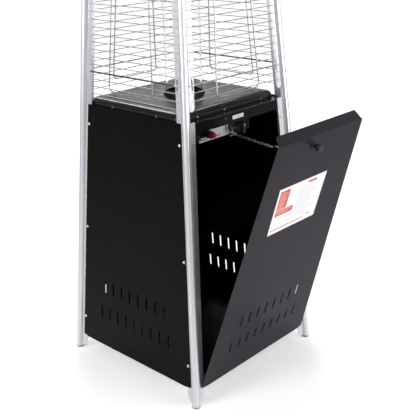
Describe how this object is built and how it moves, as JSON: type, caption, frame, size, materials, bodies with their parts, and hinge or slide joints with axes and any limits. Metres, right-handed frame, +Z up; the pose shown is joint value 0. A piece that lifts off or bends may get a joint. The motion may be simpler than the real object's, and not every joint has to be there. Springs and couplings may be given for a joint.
{
  "type": "outdoor gas heater",
  "caption": "Pyramid outdoor gas heater with a sheet-metal cabinet, a drop-down front door on a chain, a glass flame tube inside wire guards, and a hood.",
  "frame": {"origin": "on the ground, in the middle of the four feet", "axes": "+Z up, -Y out of the door, +X to the right of someone facing the door"},
  "size_m": [0.5214, 0.7446, 2.27],
  "materials": {
    "satin_aluminium": "satin, drawn lengthwise",
    "foot_steel": "plated, dull",
    "black_rubber": "matt",
    "black_plastic": "moulded, half gloss",
    "dark_paint": "dark charcoal, half gloss",
    "plated_screw": "bright plated",
    "galvanised": "dull zinc",
    "label_film": "printed film",
    "deck_enamel": "black, glossy",
    "perforated_steel": "fine perforation",
    "black_enamel": "matt black",
    "gasket": "ceramic fibre",
    "quartz": "clear",
    "stainless": "satin",
    "brass": "turned",
    "cast_alloy": "cast",
    "red_plastic": "moulded",
    "switch_plastic": "moulded",
    "copper_pipe": "drawn copper",
    "lead_rubber": "silicone sleeve",
    "chain_steel": "zinc plated",
    "guard_wire": "plated wire"
  },
  "bodies": {
    "cabinet": {"back_guard": "guard_wire", "back_panel": "dark_paint", "base_tray": "galvanised", "burner_cup": "stainless", "burner_deck": "deck_enamel", "burner_head": "stainless", "chain_hook": "plated_screw", "control_bracket": "black_enamel", "control_sticker": "label_film", "deck_plate": "perforated_steel", "deck_screws": "plated_screw", "feet": "foot_steel", "finial": "stainless", "flame_screen": "stainless", "flame_tube": "quartz", "foot_pads": "black_rubber", "front_guard": "guard_wire", "gas_inlet": "brass", "gas_valve": "cast_alloy", "guard_screws": "plated_screw", "head_tray": "stainless", "hinge_pins": "plated_screw", "hood": "stainless", "hood_nuts": "plated_screw", "hood_posts": "stainless", "igniter_body": "black_plastic", "igniter_lead": "lead_rubber", "injector": "brass", "left_guard": "guard_wire", "left_panel": "dark_paint", "lower_post_back_left": "satin_aluminium", "lower_post_back_right": "satin_aluminium", "lower_post_front_left": "satin_aluminium", "lower_post_front_right": "satin_aluminium", "panel_screws": "plated_screw", "pilot_assembly": "stainless", "post_caps": "black_plastic", "post_joiners": "satin_aluminium", "right_guard": "guard_wire", "right_panel": "dark_paint", "supply_pipe": "copper_pipe", "thermocouple": "copper_pipe", "tilt_switch": "switch_plastic", "tube_collar": "black_enamel", "tube_gasket": "gasket", "tube_seat": "black_enamel", "upper_post_back_left": "satin_aluminium", "upper_post_back_right": "satin_aluminium", "upper_post_front_left": "satin_aluminium", "upper_post_front_right": "satin_aluminium"},
    "door": {"door_panel": "dark_paint", "door_knob": "black_plastic", "door_knob_screw": "plated_screw", "door_label": "label_film", "door_eye": "plated_screw"},
    "chain_upper_half": {"chain_upper": "chain_steel"},
    "chain_lower_half": {"chain_lower": "chain_steel"},
    "stem": {"valve_stem": "stainless"},
    "knob": {"control_knob": "black_plastic"},
    "igniter": {"igniter_button": "red_plastic"}
  },
  "joints": [
    {"name": "door_hinge", "type": "hinge", "parent": "cabinet", "child": "door", "pos_m": [0, -0.241, 0.049], "axis": [1, 0, 0], "range_deg": [-21, 0]},
    {"name": "chain_upper_swing", "type": "hinge", "parent": "cabinet", "child": "chain_upper_half", "pos_m": [0.037, -0.147, 0.6865], "axis": [1, 0, 0], "range_deg": [0, 71]},
    {"name": "chain_lower_swing", "type": "hinge", "parent": "door", "child": "chain_lower_half", "pos_m": [0.037, -0.42762, 0.66446], "axis": [1, 0, 0], "range_deg": [-68.5, 0]},
    {"name": "stem_push", "type": "slide", "parent": "cabinet", "child": "stem", "axis": [0, 1, 0], "range_m": [0, 0.004], "stiffness_N_per_m": 800},
    {"name": "knob_turn", "type": "hinge", "parent": "stem", "child": "knob", "pos_m": [0.038, -0.158, 0.709], "axis": [0, -1, 0], "range_deg": [0, 180]},
    {"name": "igniter_push", "type": "slide", "parent": "cabinet", "child": "igniter", "axis": [0, 1, 0], "range_m": [0, 0.006], "stiffness_N_per_m": 600}
  ],
  "couplings": [
    {"joint": "chain_upper_swing", "follows": "door_hinge", "ratio": -3.3798},
    {"joint": "chain_lower_swing", "follows": "door_hinge", "ratio": 3.2597}
  ]
}
